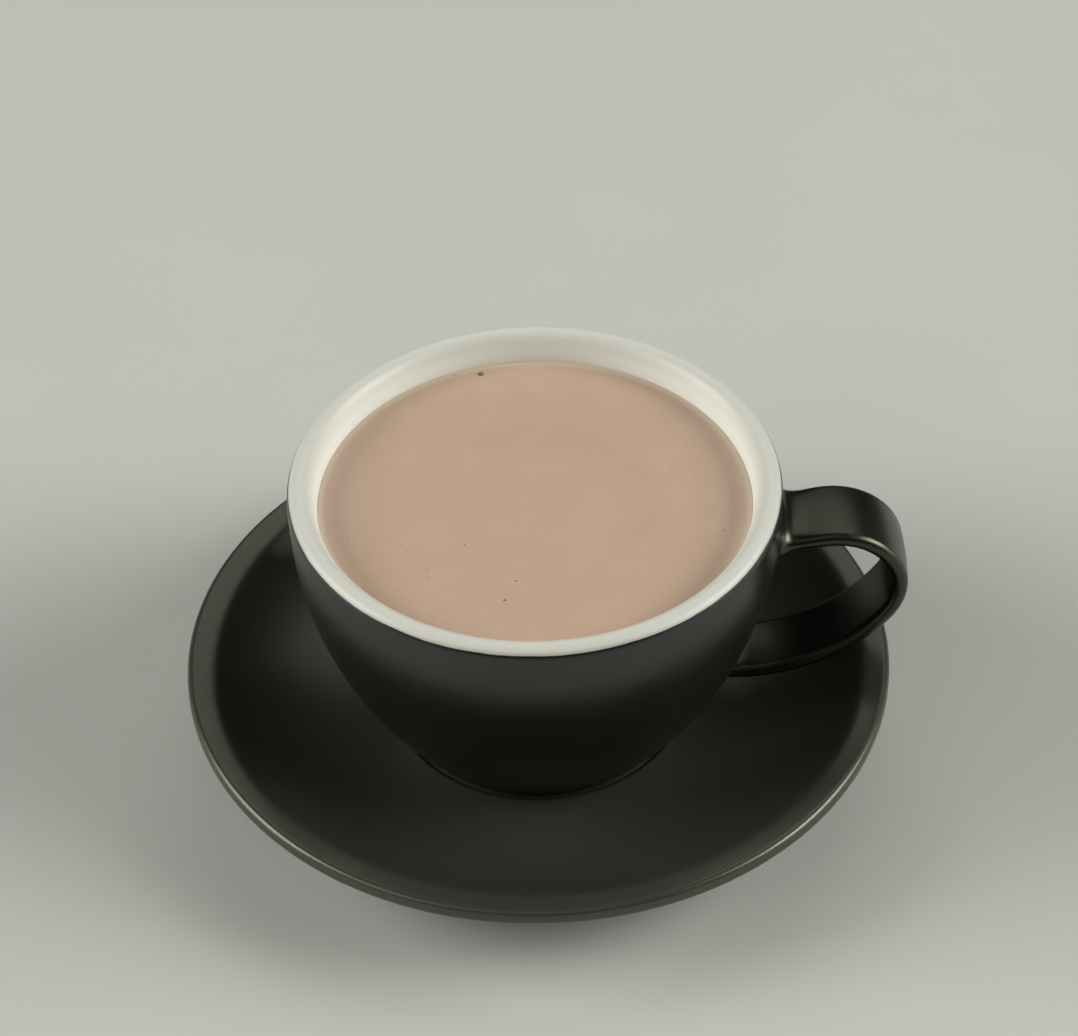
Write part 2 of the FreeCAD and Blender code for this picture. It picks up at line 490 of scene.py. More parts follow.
# %% [markdown]
# ## The bowl of the cup
#
# The bowl is one thick wall: a foot ring, a full belly, a lip that turns over with a tight round
# outside and a longer, softer slope inside. A profile is the natural way to make it, because every
# section through the axis is the same. The two glazes meet on the outer round of the lip, just
# under its crest. To keep that line crisp and true, each vertex carries its distance along the
# profile from where the glazes meet, and the material cuts there.

# %% Profile of the bowl
bowl_rounding = 0.22 * mm


def foot_corner(radius, side, base_z):
    """Quarter round under a foot ring, at its outer corner for side 1, at its inner one for -1."""
    centre = (radius - side * foot_edge_round, base_z + foot_edge_round)
    first = -90 if side > 0 else -180
    return arc_points(centre, foot_edge_round, first, first + 90)


def bowl_profile():
    """From the axis under the bowl, round the foot ring, up the belly and over the lip, down to
    the floor inside."""
    foot_inner = cup_foot_radius - cup_foot_width
    belly = bowl_curve(rim_radius, lip_centre_z, bowl_base_radius, bowl_base_z)[::-1]
    outer_lip = arc_points((crest_radius, lip_centre_z), lip_round, 0, 90)
    turn = np.radians(np.linspace(0, 90, 32))
    inner_lip = np.stack([crest_radius - lip_inner_run * np.sin(turn),
                          inner_wall_z + lip_inner_drop * np.cos(turn)], axis=-1)
    inner_wall = bowl_curve(inner_wall_radius, inner_wall_z, cup_floor_radius, floor_z)
    return np.concatenate([
        [(0, bowl_base_z), (foot_inner, bowl_base_z)],
        foot_corner(foot_inner, -1, seat_z),
        foot_corner(cup_foot_radius, 1, seat_z),
        [(cup_foot_radius, bowl_base_z)],
        belly,
        outer_lip[1:],
        inner_lip[1:],
        inner_wall[1:],
        [(0, floor_z)],
    ])


bowl_line = spread(ease(bowl_profile(), bowl_rounding))
cup_bowl = skin("cup_bowl", turned(bowl_line), pole(bowl_line, 0), pole(bowl_line, -1))

# %% Mark where the glazes meet
glaze_angle = math.radians(31.0)
glaze_point = np.array([crest_radius + lip_round * math.cos(glaze_angle),
                        lip_centre_z + lip_round * math.sin(glaze_angle)])


def for_vertices(profile_values):
    """Spreads one value for each point of a turned profile over the vertices of its skin."""
    rings = np.repeat(profile_values[1:-1], points_around)
    return np.concatenate([rings, profile_values[[0, -1]]])


bowl_along = path_length(bowl_line)
glaze_along = bowl_along[np.argmin(np.linalg.norm(bowl_line - glaze_point, axis=1))]
set_attribute(cup_bowl, "past_glaze_line", for_vertices(bowl_along - glaze_along))
set_attribute(cup_bowl, "thin", for_vertices(convexity(bowl_line)))
print("the glazes meet", round(glaze_along / mm, 1), "mm along the profile")

# %% [markdown]
# ## White glaze, and the film that the drink leaves
#
# Inside, the bowl is ivory with a soft sheen. The white has a slighter ripple than the black. It
# is painted whiter on the inside wall than over the crest: painted light, for the light that the
# inside wall catches. A drink that was just poured has wetted the wall above its level, and
# leaves a thin, uneven film of milk and cocoa there. The line between the glazes is crisp but not
# ruled: it wavers by a tenth of a millimetre, and the white is thinnest right at it. One material
# holds both glazes, so it leaves out the tint of the black's gloss, which the white would take on
# too.

# %% Glazes of the bowl
white_body = colour(0.650, 0.640, 0.615)
white_thin = colour(0.500, 0.490, 0.455)
# The whiter ivory of the inside wall is painted light.
white_inside_painted_light = colour(0.850, 0.860, 0.835)
film_tone = colour(0.680, 0.570, 0.475)
white_roughness = 0.45
white_smoothing = 0.6
line_wander = 0.30 * mm
# Where along the profile the painted light inside the bowl starts and where it is full.
painted_light_start = 4.0 * mm
painted_light_full = 8.0 * mm
film_strength = 0.30
film_least = 0.35 * mm
film_uneven = 0.9 * mm


def bowl_material():
    """Black outside and ivory inside, cut by the distance past the line between them."""
    finish = Finish("black_and_ivory_glaze")
    black_tone, black_rough, black_height = black_glaze(finish, cup_black_shaded)
    past_line = finish.attribute("past_glaze_line")
    wander = line_wander * (finish.noise(6 * mm, 3.0) - 0.5)
    white = finish.step(past_line + wander, -0.10 * mm, 0.12 * mm)
    full = finish.step(past_line + wander, 0.05 * mm, 0.9 * mm)
    ivory = finish.mix(full, white_thin, white_body)
    # Painted light: the ivory turns whiter further inside the bowl.
    painted_light_inside = finish.step(past_line, painted_light_start, painted_light_full)
    ivory = finish.mix(painted_light_inside, ivory, white_inside_painted_light)
    height_above = finish.axes()[2] - drink_z
    film_top = film_least + film_uneven * finish.noise(5 * mm, 3.0)
    wetted = 1 - finish.step(height_above, 0.3 * film_top, film_top)
    film = wetted * finish.step(past_line, 3 * mm, 4 * mm)
    inside = finish.mix(film_strength * film, ivory, film_tone)
    tone = finish.mix(white, black_tone, inside)
    roughness = black_rough * (1 - white) + white_roughness * white
    height = black_height * (1 - white_smoothing * white)
    normal = finish.bump(height, glaze_relief)
    return finish.surface(Base_Color=tone, Roughness=roughness, IOR=glaze_ior, Normal=normal)


cup_bowl.data.materials.append(bowl_material())
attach(cup_bowl, "root")
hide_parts("cup")
print("bowl finished")

# %% [markdown]
# ## The handle
#
# The handle is a flat strap of clay, pulled, bent to an ear and pressed onto the leather-hard
# bowl. Its section is a rectangle with rounded edges, a little narrower at the bottom than at the
# top. It could be extruded along a curve, but then its roots would meet the wall in a hard crease.
# Here the strap is a skin over rings that follow the path, and at both ends every line along the
# strap leaves it on a curve that runs out level with the wall, as clay does when a wet finger
# smooths the joint.

# %% Path of the strap
strap_thickness = 3.6 * mm
strap_width_top = 16.0 * mm
strap_width_bottom = 14.0 * mm
strap_edge_round = 1.55 * mm
strap_crown = 0.22 * mm
strap_rise = 9.0
handle_top_drop = 9.5 * mm
handle_foot_rise = 10.27 * mm
finger_bend_radius = 13.1 * mm
finger_bend_end = 33.0
root_depth = 3.0 * mm
bend_easing = 1.0 * mm
strap_steps = 220

half_strap = strap_thickness / 2
bend_x = handle_tip - half_strap - finger_bend_radius
bend_z = rim_z - handle_top_drop - half_strap - finger_bend_radius
strap_low_z = seat_z + handle_foot_rise + half_strap
bend_fall = math.sin(math.radians(finger_bend_end))
sweep_radius = (bend_z - finger_bend_radius * bend_fall - strap_low_z) / (1 - bend_fall)


def wall_radius(height):
    """Outer radius of the bowl at a height, by the same power of the depth as its profile."""
    depth = np.clip((lip_centre_z - height) / (lip_centre_z - bowl_base_z), 0, 1)
    return bowl_base_radius + (rim_radius - bowl_base_radius) * (1 - depth ** belly_power)


def strap_path():
    """Middle line of the strap in the XZ plane: out of the wall, round the finger bend, and back
    in a sweep."""
    bend = arc_points((bend_x, bend_z), finger_bend_radius, 90 + strap_rise, -finger_bend_end, 120)
    turn = math.radians(-finger_bend_end)
    back = finger_bend_radius - sweep_radius
    sweep_centre = (bend_x + back * math.cos(turn), bend_z + back * math.sin(turn))
    sweep = arc_points(sweep_centre, sweep_radius, -finger_bend_end, -90, 120)
    slope = math.tan(math.radians(strap_rise))
    top_run = bend[0, 0] - wall_radius(bend[0, 1]) + root_depth
    top = bend[0] - np.array([top_run, top_run * slope])
    low = np.array([wall_radius(sweep[-1, 1]) - root_depth, sweep[-1, 1]])
    return np.concatenate([line_points(top, bend[0], 30), bend[1:], sweep[1:], [low]])


strap_line = ease(strap_path(), bend_easing)
strap_line = at_lengths(strap_line, np.linspace(0, path_length(strap_line)[-1], strap_steps))
print("the strap is", round(path_length(strap_line)[-1] / mm, 1), "mm long")
print("its sweep has a radius of", round(sweep_radius / mm, 1), "mm")

# %% [markdown]
# A rounded rectangle is a small rectangle with a circle carried round it. Each point of the
# section is given by its share of the small rectangle's two sides and by the direction on the
# circle, so the section can change its width along the strap without a loop. The broad faces of a
# pulled strap are never quite flat, so they are crowned by a fifth of a millimetre, which also
# thins the strap towards its edges.

# %% Section of the strap and its rings
def section_shares(across=15, through=4, corner=9):
    """Shares of the small rectangle, across and through the strap, and the turn on the circle.

    The section starts in the middle of the outer face and goes round by the -Y edge, the inner
    face and the +Y edge. The outward direction is the cosine through the strap and the sine
    across it.
    """
    sides = [(0, -1, 1, 1, 0, across), (-1, -1, 1, -1, -90, through),
             (-1, 1, -1, -1, -180, across), (1, 1, -1, 1, -270, through),
             (1, 0, 1, 1, -360, across)]
    y_share = []
    n_share = []
    turn = []
    for y_from, y_to, n_from, n_to, degrees, count in sides:
        y_share.append(np.linspace(y_from, y_to, count))
        n_share.append(np.linspace(n_from, n_to, count))
        turn.append(np.full(count, float(degrees)))
        if degrees > -360:
            y_share.append(np.full(corner, float(y_to)))
            n_share.append(np.full(corner, float(n_to)))
            turn.append(np.linspace(degrees, degrees - 90, corner + 2)[1:-1])
    y_share, n_share, turn = (np.concatenate(part)[:-1] for part in (y_share, n_share, turn))
    return y_share, n_share, np.radians(turn)


def strap_rings(line):
    """Rings of the strap and their outward directions.

    Each ring is a point of the line, plus the section's offsets across the strap (Y) and through
    it (the line's normal).
    """
    heading = np.gradient(line, axis=0)
    heading = heading / np.linalg.norm(heading, axis=1)[:, None]
    normal = np.stack([-heading[:, 1], heading[:, 0]], axis=-1)
    y_share, n_share, turn = section_shares()
    high = bend_z + finger_bend_radius + half_strap
    low = strap_low_z - half_strap
    height_share = np.clip((line[:, 1] - low) / (high - low), 0, 1)
    width = strap_width_bottom + (strap_width_top - strap_width_bottom) * height_share
    small_width = (width / 2 - strap_edge_round)[:, None]
    crown = strap_crown * (1 - y_share ** 2)
    across = small_width * y_share + strap_edge_round * np.sin(turn)
    straight = half_strap - strap_edge_round - strap_crown
    through = n_share * (straight + crown) + strap_edge_round * np.cos(turn)
    x = line[:, :1] + through * normal[:, :1]
    z = line[:, 1:] + through * normal[:, 1:]
    out_y = np.broadcast_to(np.sin(turn), x.shape)
    out = np.stack([np.cos(turn) * normal[:, :1], out_y, np.cos(turn) * normal[:, 1:]], axis=-1)
    return np.stack([x, across, z], axis=-1), out


strap_body, strap_out = strap_rings(strap_line)
print("the strap has", strap_body.shape[0], "rings of", strap_body.shape[1], "points")

# %% [markdown]
# Where a line along the strap would pass into the wall, it leaves the strap a little earlier and
# bends outwards until it lies along the wall. A curve with three control points does this: the
# first on the strap, the second where the strap's line meets the wall, and the third on the wall,
# one fillet's reach to the outside. It starts level with the strap and ends level with the wall,
# whatever the angle between them. A few rounds of relaxing then take out the tight saddle that
# this leaves beside each edge of the strap, as the finger does in the clay.

# %% Run the ends of the strap out over the wall
fillet_reach = 4.8 * mm
fillet_sink = 0.04 * mm
fillet_steps = 24
root_cover = 1.2 * mm
relaxed_rings = 12
relaxing_rounds = 60
handle_steps = 200


def above_wall(points):
    """Distance from the axis less the wall's radius, so that it is negative inside the bowl."""
    return np.hypot(points[..., 0], points[..., 1]) - wall_radius(points[..., 2])


def wall_normal(points):
    """Outward direction of the wall at points beside it, from the slope of the wall's radius."""
    small = 0.05 * mm
    above, below = wall_radius(points[..., 2] + small), wall_radius(points[..., 2] - small)
    slope = (above - below) / (2 * small)
    distance = np.hypot(points[..., 0], points[..., 1])
    normal = np.stack([points[..., 0] / distance, points[..., 1] / distance, -slope], axis=-1)
    return normal / np.linalg.norm(normal, axis=-1, keepdims=True)


def onto_wall(points, sink):
    """The same points, moved straight to or from the axis to lie this far under the wall."""
    distance = np.hypot(points[..., 0], points[..., 1])
    factor = (wall_radius(points[..., 2]) - sink) / distance
    return points * np.stack([factor, factor, np.ones_like(factor)], axis=-1)


def at_places(rings, places):
    """Point of each line along the strap at its own place, counted in rings and parts of one."""
    below = np.clip(np.floor(places).astype(int), 0, len(rings) - 2)
    share = (places - below)[:, None]
    column = np.arange(rings.shape[1])
    return rings[below, column] * (1 - share) + rings[below + 1, column] * share


def crossing(rings):
    """Place, counted in rings, where each line along the strap comes out of the wall."""
    height = above_wall(rings)
    first_out = np.argmax(height > 0, axis=0)
    column = np.arange(rings.shape[1])
    inner = height[first_out - 1, column]
    outer = height[first_out, column]
    return first_out - 1 + inner / (inner - outer)


def root_rings(rings, out):
    """Rings that carry the first end of the strap out over the wall, from deep in it to the strap.

    Returns them with the place on each line where the strap itself begins.
    """
    spacing = np.linalg.norm(rings[1, 0] - rings[0, 0])
    corner_place = crossing(rings)
    strap_place = corner_place + fillet_reach / spacing
    corner = at_places(rings, corner_place)
    on_strap = at_places(rings, strap_place)
    direction = at_places(out, corner_place)
    normal = wall_normal(corner)
    sideways = direction - normal * np.sum(direction * normal, axis=-1, keepdims=True)
    sideways = sideways / np.linalg.norm(sideways, axis=-1, keepdims=True)
    on_wall = onto_wall(corner + sideways * fillet_reach, fillet_sink)
    share = np.linspace(0, 1, fillet_steps)[:, None, None]
    curve = on_wall * (1 - share) ** 2 + corner * 2 * share * (1 - share) + on_strap * share ** 2
    deep = onto_wall(on_wall, root_cover)
    return np.concatenate([deep[None], curve]), strap_place


def softened(rings):
    """The same rings, with their middle ones relaxed.

    In each round every point moves a share of the way to the mean of its four neighbours. The
    share is half a squared sine along the rings, so it falls to 0 at the first and at the last.
    """
    place = np.linspace(0, 1, len(rings))[:, None, None]
    share = 0.5 * np.sin(np.pi * place) ** 2
    for _ in range(relaxing_rounds):
        along = 0.5 * (np.roll(rings, 1, axis=0) + np.roll(rings, -1, axis=0))
        around = 0.5 * (np.roll(rings, 1, axis=1) + np.roll(rings, -1, axis=1))
        rings = rings + share * (0.5 * (along + around) - rings)
    return rings


def joined_handle(rings, out):
    """Whole handle: a root, the free strap between the two roots, and the other root."""
    first, first_place = root_rings(rings, out)
    last, last_place = root_rings(rings[::-1], out[::-1])
    last_place = len(rings) - 1 - last_place
    free = last_place - first_place
    body = np.stack([at_places(rings, first_place + free * share)
                     for share in np.linspace(0, 1, handle_steps)[1:-1]])
    first = softened(np.concatenate([first, body[:relaxed_rings]]))
    last = softened(np.concatenate([last, body[::-1][:relaxed_rings]]))
    return np.concatenate([first, body[relaxed_rings:-relaxed_rings], last[::-1]])


handle = joined_handle(strap_body, strap_out)
cup_handle = skin("cup_handle", handle, handle[0].mean(axis=0), handle[-1].mean(axis=0))
set_attribute(cup_handle, "thin", np.zeros(len(cup_handle.data.vertices)))
cup_handle.data.materials.append(handle_black_shaded)
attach(cup_handle, "root")
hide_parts("cup")

# %% [markdown]
# ## The saucer
#
# The saucer is turned as well: a shallow seat that keeps the cup's foot in place, a well that
# rises as a parabola, a narrow level band round the lip, a thin rounded edge, a straight cone
# underneath and a foot ring. The well rolls over into the band, because a sponge takes that ridge
# off while the clay is wet, so this stretch is eased further than the other edges before it joins
# the rest. The saucer wears the same black glaze all over, in its paler copy. The level band is
# painted paler: partly thinner glaze where the sponge has gone round, partly painted sheen for the
# light that the band reflects.

# %% Profile of the saucer
saucer_rounding = 0.25 * mm
sponge_reach = 1.0 * mm
# The paler band is partly thinner glaze and partly painted sheen.
pale_band_width = 7.0 * mm
pale_band_fade = 2.5 * mm
band_thin_and_sheen = 0.9


def saucer_profile():
    """From the axis underneath, over the foot ring, out along the cone, over the lip and down to
    the seat."""
    corner = saucer_corner_round
    edge = saucer_radius - corner
    foot_inner = saucer_foot_radius - saucer_foot_width
    well_z = seat_z + seat_depth
    start = seat_radius + seat_slope_run
    end = saucer_radius - saucer_lip_width
    share = np.linspace(1, 0, 120)
    rise = saucer_height - saucer_lip_fall - well_z
    well = np.stack([start + (end - start) * share, well_z + rise * share ** 2], axis=-1)
    band = line_points((edge, saucer_height), well[0], 40)
    upper_side = ease(np.concatenate([band, well[1:]]), sponge_reach)
    return np.concatenate([
        [(0, saucer_foot_height), (foot_inner, saucer_foot_height)],
        foot_corner(foot_inner, -1, 0),
        foot_corner(saucer_foot_radius, 1, 0),
        [(saucer_foot_radius, saucer_foot_height)],
        arc_points((edge, saucer_height - saucer_lip_thickness + corner), corner, -90, 0),
        arc_points((edge, saucer_height - corner), corner, 0, 90)[:-1],
        upper_side,
        [(seat_radius, seat_z), (0, seat_z)],
    ])


saucer_line = spread(ease(saucer_profile(), saucer_rounding))
saucer_dish = skin("saucer_dish", turned(saucer_line), pole(saucer_line, 0), pole(saucer_line, -1))
# The band is painted paler: partly thinner glaze, partly painted sheen.
pale_band_mask = np.clip((saucer_line[:, 0] - saucer_radius + pale_band_width) / pale_band_fade, 0, 1)
pale_band_mask = pale_band_mask * (saucer_line[:, 1] > saucer_height - saucer_corner_round)
saucer_thin_and_sheen = np.maximum(convexity(saucer_line), band_thin_and_sheen * pale_band_mask)
set_attribute(saucer_dish, "thin", for_vertices(saucer_thin_and_sheen))
saucer_dish.data.materials.append(dish_black_lit)
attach(saucer_dish, "root")
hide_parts("saucer")

# %% [markdown]
# ## The hot chocolate
#
# The drink fills the bowl from its floor to its level. Its surface is smooth but not a mirror:
# milk climbs the wall in a small meniscus, and the last turn of the spoon still shows as faint,
# wide rings of froth. So the skin of the drink follows the inside of the bowl, a hair inside the
# wall so that no gap shows, and its top is a set of rings whose height falls off from the wall and
# ripples by hundredths of a millimetre.

# %% Shape of the drink
meniscus_height = 0.20 * mm
meniscus_reach = 0.7 * mm
wall_overlap = 0.10 * mm
wall_top_gap = 0.3 * mm
surface_points = 110
stir_centre = (1.0 * mm, -0.5 * mm)
swell_height = 0.012 * mm
swell_length = 1.7 * mm


def drink_profile():
    """From the axis at the floor of the bowl, up the wall and back along the surface."""
    wall = bowl_curve(inner_wall_radius, inner_wall_z, cup_floor_radius, floor_z)[::-1]
    wall = wall[wall[:, 1] < drink_z - wall_top_gap] + np.array([wall_overlap, 0])
    edge = inner_wall_radius + wall_overlap
    radius = np.linspace(edge, 0, surface_points)
    height = drink_z + meniscus_height * np.exp((radius - edge) / meniscus_reach)
    top = np.stack([radius, height], axis=-1)
    foot = wall[0] - np.array([0, wall_overlap])
    return np.concatenate([[(0, floor_z - wall_overlap)], [foot], wall, top])


def surface_ripple(x, y):
    """Height of the faint rings round the stirred centre: a sine of the distance, times a share
    that falls to 0 at the wall."""
    distance = np.hypot(x - stir_centre[0], y - stir_centre[1])
    calm = np.clip(1 - distance / inner_wall_radius, 0, 1)
    return swell_height * np.sin(distance / swell_length) * calm


drink_line = drink_profile()
drink_rings = turned(drink_line)
on_top = drink_rings[..., 2] > drink_z - 0.1 * mm
drink_rings[..., 2] += on_top * surface_ripple(drink_rings[..., 0], drink_rings[..., 1])
drink = skin("drink", drink_rings, pole(drink_line, 0), pole(drink_line, -1))

# %% [markdown]
# Milky hot chocolate is a dull pinkish beige, far less red than cocoa powder: the milk's fat
# scatters nearly all the light, and only a little colour comes back. The colour clouds slightly
# where froth thins out, wide rings show the last stir, and a broad arc on the right is a shade
# deeper. Towards the left and right edges the drink is painted paler, as painted light that makes
# up for the shade the wall casts there. Where the drink climbs the wall it is so thin that the
# white glaze shines through, which draws a paler line all round. The distance from the stirred
# centre draws the rings and the arc, and the distance from the axis draws the line at the wall.

# %% Finish of the drink
drink_body = colour(0.520, 0.358, 0.277)
drink_froth = colour(0.578, 0.412, 0.332)
drink_deep = colour(0.445, 0.293, 0.219)
drink_line_tone = colour(0.610, 0.495, 0.400)
drink_ior = 1.35
drink_roughness = 0.30
froth_roughness = 0.12
froth_strength = 0.42
# Strength of the painted light towards the left and right edges of the drink.
painted_side_light_strength = 0.8
fine_strength = 0.05
arc_strength = 0.14
arc_radius = 20 * mm
stir_wander = 3.0 * mm
stir_length = 1.3 * mm
edge_wander = 0.5 * mm
drink_relief = 0.006 * mm


def drink_material():
    """Beige, with clouds, rings and an arc of froth, and a paler line at the wall."""
    finish = Finish("milky_hot_chocolate")
    x, y = finish.axes()[:2]
    from_stir_x = x - stir_centre[0]
    from_stir_y = y - stir_centre[1]
    distance = (from_stir_x * from_stir_x + from_stir_y * from_stir_y) ** 0.5
    warped = distance + stir_wander * (finish.noise(16 * mm, 2.0) - 0.5)
    rings = finish.node("ShaderNodeMath", {"operation": "SINE"}, {0: warped / stir_length})
    stirred = finish.step(distance, 30 * mm, 8 * mm)
    cloud = finish.noise(11 * mm, 4.0)
    froth = finish.step(cloud + 0.035 * rings * stirred, 0.42, 0.72)
    from_axis = (x * x + y * y) ** 0.5
    uneven = edge_wander * (finish.noise(7 * mm, 3.0) - 0.5)
    climbing = finish.step(from_axis + uneven, inner_wall_radius - 1.7 * mm,
                           inner_wall_radius - 0.3 * mm)
    fine = finish.noise(0.5 * mm, 2.0)
    # Painted light: paler towards the left and right edges, against the wall's shade.
    painted_light_sides = finish.step((x * x) ** 0.5 + uneven, 31 * mm, 40 * mm)
    pale = froth_strength * froth + painted_side_light_strength * painted_light_sides + fine_strength * (fine - 0.5)
    tone = finish.mix(pale, drink_body, drink_froth)
    from_arc = ((distance - arc_radius) * (distance - arc_radius)) ** 0.5
    arc = finish.step(from_arc, 7 * mm, 1 * mm) * finish.step(x + y, -5 * mm, 12 * mm)
    tone = finish.mix(arc_strength * arc, tone, drink_deep)
    tone = finish.mix(climbing, tone, drink_line_tone)
    roughness = drink_roughness + froth_roughness * froth
    normal = finish.bump(fine, drink_relief)
    return finish.surface(Base_Color=tone, Roughness=roughness, IOR=drink_ior, Normal=normal)


drink.data.materials.append(drink_material())
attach(drink, "root")
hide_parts("hot_chocolate")
print("drink finished")

# %% [markdown]
# ## Bubbles and specks of cocoa
#
# A few bubbles are left on the surface, mostly under half a millimetre across, and a handful of
# dark specks of cocoa that didn't dissolve, the largest of them at the far wall. Each is a low
# dome on the drink. A dome's skin over rings is computed once, and copies of it are scaled, placed
# and numbered by adding whole arrays, so that all bubbles are one light mesh and all specks
# another.

# %% Scatter the bubbles and the specks
bubble_seed = 7
bubble_count = 46
bubble_share_near_wall = 0.7
bubble_least_radius = 0.10 * mm
speck_seed = 5
speck_count = 5
far_speck_turn = math.radians(105)
far_speck_radius = 0.60 * mm
speck_least_radius = 0.14 * mm
speck_radius_range = 0.10 * mm
dome_height = 0.62
dome_depth = 0.31


def dome_rings(around=14, rings=5):
    """A dome of radius 1, flattened to its height: rings at even angles from -30 to 72 degrees."""
    turn = np.linspace(0, 2 * np.pi, around, endpoint=False)
    rise = np.radians(np.linspace(-30, 72, rings))[:, None]
    flat = np.broadcast_to(dome_height * np.sin(rise), (rings, around))
    return np.stack([np.cos(rise) * np.cos(turn), np.cos(rise) * np.sin(turn), flat], axis=-1)


def on_drink(distance, turn):
    """Places (x, y) from their distances and turns about the axis."""
    return np.stack([distance * np.cos(turn), distance * np.sin(turn)], axis=-1)


def bubble_places(random):
    """Places and radii: most near the wall, where bubbles gather, and a few in the middle."""
    near_wall = random.random(bubble_count) < bubble_share_near_wall
    edge = inner_wall_radius - random.gamma(1.5, 2.2 * mm, bubble_count) - 0.5 * mm
    middle = random.random(bubble_count) ** 0.5 * 0.7 * inner_wall_radius
    distance = np.where(near_wall, np.clip(edge, 0, inner_wall_radius - 0.6 * mm), middle)
    turn = random.random(bubble_count) * 2 * np.pi
    radius = bubble_least_radius + random.gamma(1.6, 0.05 * mm, bubble_count)
    return on_drink(distance, turn), radius


def speck_places(random):
    """Places and radii: the largest at the far wall, the others in the near half of the drink."""
    others = speck_count - 1
    distance = inner_wall_radius * np.append(0.95, 0.3 + 0.45 * random.random(others))
    turn = np.append(far_speck_turn, np.pi * (1.2 + 0.6 * random.random(others)))
    small = speck_least_radius + speck_radius_range * random.random(others)
    return on_drink(distance, turn), np.append(far_speck_radius, small)


def domes_mesh(name, places, radii):
    """One mesh of low domes on the drink, each at its own place and of its own radius."""
    rings = dome_rings()
    shape = np.concatenate([rings.reshape(-1, 3), [[0, 0, -dome_depth], [0, 0, dome_height]]])
    quads, triangles = ring_faces(rings.shape[0], rings.shape[1])
    level = drink_z + surface_ripple(places[:, 0], places[:, 1])
    centres = np.concatenate([places, level[:, None]], axis=1)
    vertices = (shape[None] * radii[:, None, None] + centres[:, None]).reshape(-1, 3)
    first = (np.arange(len(places)) * len(shape))[:, None, None]
    print(name, len(places), "domes, the widest", round(2 * radii.max() / mm, 2), "mm")
    all_quads = (quads + first).reshape(-1, 4)
    all_triangles = (triangles + first).reshape(-1, 3)
    return make_mesh(name, vertices, all_quads, all_triangles)


# %% Finishes of the bubbles and the specks
cocoa_dark = colour(0.160, 0.095, 0.065)
cocoa_light = colour(0.280, 0.185, 0.130)


def bubble_material():
    """A wet film of the drink: from one bubble to the next it is paler or deeper."""
    finish = Finish("bubble_film")
    shade = finish.noise(2.0 * mm, 1.0)
    tone = finish.mix(shade, drink_deep, drink_froth)
    return finish.surface(Base_Color=tone, Roughness=0.12 + 0.1 * shade, IOR=drink_ior)


def speck_material():
    """Cocoa that stayed dry inside, mottled at the size of its grains."""
    finish = Finish("dark_cocoa")
    shade = finish.noise(0.3 * mm, 2.0)
    tone = finish.mix(shade, cocoa_dark, cocoa_light)
    return finish.surface(Base_Color=tone, Roughness=0.35, IOR=drink_ior)


froth_bubbles = domes_mesh("froth_bubbles", *bubble_places(np.random.default_rng(bubble_seed)))
froth_bubbles.data.materials.append(bubble_material())
cocoa_specks = domes_mesh("cocoa_specks", *speck_places(np.random.default_rng(speck_seed)))
cocoa_specks.data.materials.append(speck_material())
for piece in (froth_bubbles, cocoa_specks):
    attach(piece, "root")

# %% [markdown]
# ## Floor, light and camera
#
# The cup stands on a plain pale floor. Two wide windows, one at the right and one at the left,
# give nearly all the light. Each has a weaker neighbour nearer to the camera and a low sill light
# that skims the floor, whose mirror image makes the soft sheen on both shoulders of the black
# glaze. Little comes from the front and the back, and almost nothing from the room, so the slopes
# that face away from the windows stay deep black. The lamps stand far enough back for the floor to
# be lit evenly.

# %% Floor
floor_half = 6.0
floor_low = colour(0.530, 0.524, 0.520)
floor_high = colour(0.565, 0.558, 0.554)


def floor_plane():
    """One square face at the height of the saucer's foot ring."""
    corners = [(-floor_half, -floor_half), (floor_half, -floor_half),
               (floor_half, floor_half), (-floor_half, floor_half)]
    mesh = bpy.data.meshes.new("floor")
    mesh.from_pydata([(x, y, saucer_low.z) for x, y in corners], [], [(0, 1, 2, 3)])
    plane = bpy.data.objects.new("floor", mesh)
    bpy.context.scene.collection.objects.link(plane)
    return plane


def floor_material():
    """Matt pale grey, with faint patches."""
    finish = Finish("pale_floor")
    patch = finish.noise(60 * mm, 3.0)
    tone = finish.mix(patch, floor_low, floor_high)
    return finish.surface(Base_Color=tone, Roughness=0.8)


floor = floor_plane()
floor.data.materials.append(floor_material())
print("the floor is", 2 * floor_half, "m wide")

# %% Lights
light_tint = (0.985, 1.0, 0.905)
lamp_distance = 2.4
room_tint = colour(0.90, 0.95, 1.0)
room_strength = 0.004


def soft_light(name, azimuth, elevation, width, height, power):
    """Rectangular light that faces the cup.

    The azimuth is from +X towards +Y, and both angles are in degrees. The power is in watts.
    """
    light = bpy.data.lights.new(name, "AREA")
    light.shape = "RECTANGLE"
    light.size = width
    light.size_y = height
    light.energy = power
    light.color = light_tint
    lamp = bpy.data.objects.new(name, light)
    turn = math.radians(azimuth)
    rise = math.radians(elevation)
    away = Vector((math.cos(turn) * math.cos(rise), math.sin(turn) * math.cos(rise),
                   math.sin(rise)))
    facing = away.to_track_quat("Z", "Y").to_matrix().to_4x4()
    lamp.matrix_world = Matrix.Translation(away * lamp_distance) @ facing
    bpy.context.scene.collection.objects.link(lamp)


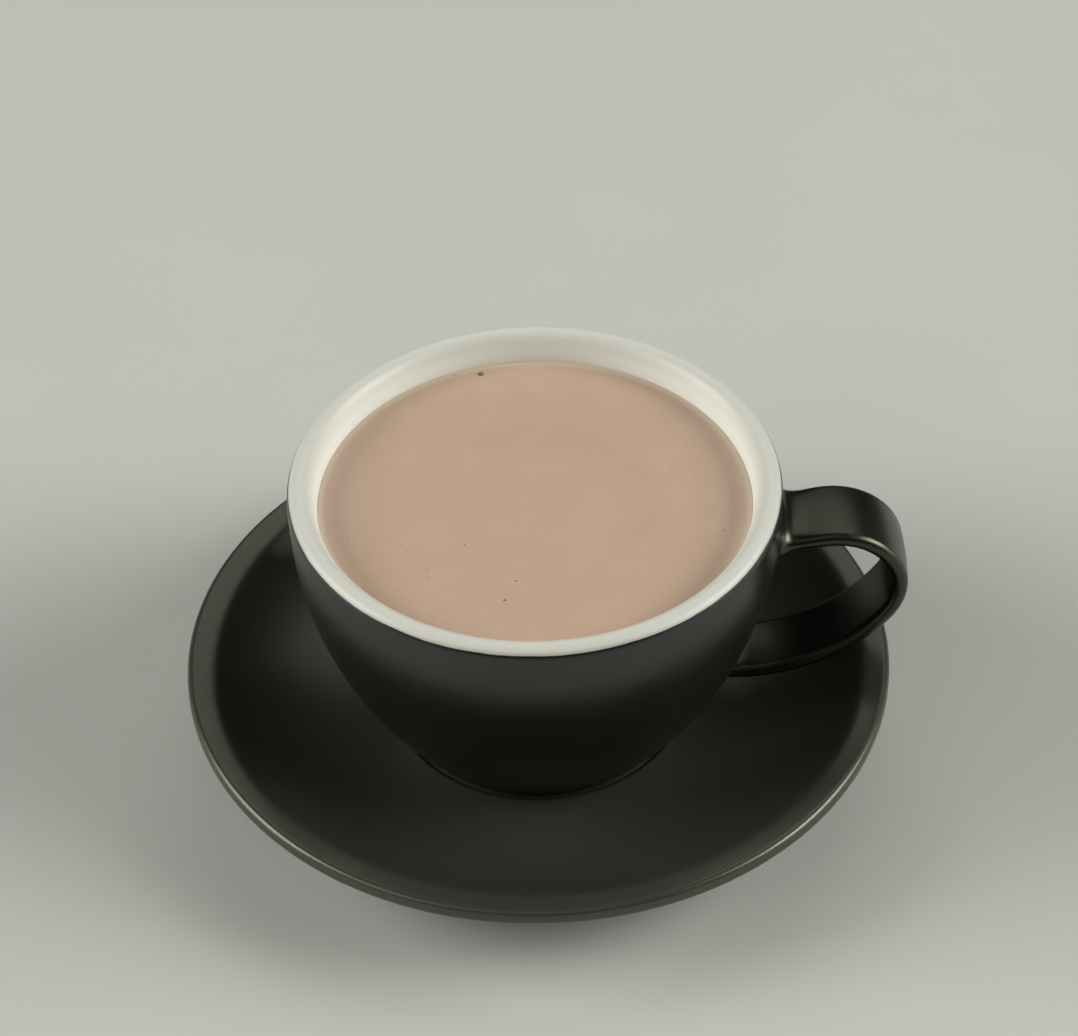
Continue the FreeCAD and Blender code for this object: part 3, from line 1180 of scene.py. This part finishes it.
soft_light("right_window", 0, 32, 1.4, 1.0, 36.5)
soft_light("left_window", 180, 32, 1.4, 1.0, 37.5)
soft_light("right_sill", -4, 10, 1.4, 0.7, 5.5)
soft_light("left_sill", 182, 10, 1.4, 0.7, 10)
soft_light("near_right_window", -14, 34, 1.2, 1.0, 12)
soft_light("near_left_window", 218, 36, 1.2, 1.0, 6.4)
soft_light("front", 262, 60, 1.6, 1.4, 2.4)
soft_light("back", 78, 52, 1.8, 1.2, 6.5)

room = bpy.data.worlds.new("room")
room.use_nodes = True
room_light = room.node_tree.nodes["Background"]
room_light.inputs["Color"].default_value = room_tint
room_light.inputs["Strength"].default_value = room_strength
bpy.context.scene.world = room
bpy.context.scene.view_settings.view_transform = "Standard"

# %% [markdown]
# The camera looks down on the cup from the front, at 42 degrees, from two thirds of a metre away.
# It aims at the middle of the rim, and is tipped and turned by a degree or so, as a camera held in
# the hand is.

# %% Camera
camera_distance = 0.675
camera_elevation = math.radians(42.0)
camera_yaw = math.radians(0.06)
camera_pitch = math.radians(-0.50)
camera_roll = math.radians(-1.19)
camera_lens = 116.45
sensor_width = 36.0


def camera_matrix():
    """Place and turn of the camera: three directions at right angles, each pair turned by its
    small angle."""
    target = Vector((0, 0, lip_centre_z))
    away = Vector((0, -math.cos(camera_elevation), math.sin(camera_elevation)))
    ahead = -away
    right = Vector((1, 0, 0))
    up = right.cross(ahead)
    ahead, right = (ahead * math.cos(camera_yaw) + right * math.sin(camera_yaw),
                    right * math.cos(camera_yaw) - ahead * math.sin(camera_yaw))
    ahead, up = (ahead * math.cos(camera_pitch) + up * math.sin(camera_pitch),
                 up * math.cos(camera_pitch) - ahead * math.sin(camera_pitch))
    right, up = (right * math.cos(camera_roll) + up * math.sin(camera_roll),
                 up * math.cos(camera_roll) - right * math.sin(camera_roll))
    turn = Matrix((right, up, -ahead)).transposed().to_4x4()
    return Matrix.Translation(target + away * camera_distance) @ turn


camera_data = bpy.data.cameras.new("camera")
camera_data.lens = camera_lens
camera_data.sensor_width = sensor_width
camera_data.sensor_fit = "HORIZONTAL"
camera = bpy.data.objects.new("camera", camera_data)
camera.matrix_world = camera_matrix()
bpy.context.scene.collection.objects.link(camera)
bpy.context.scene.camera = camera
print("camera at", camera.matrix_world.translation)
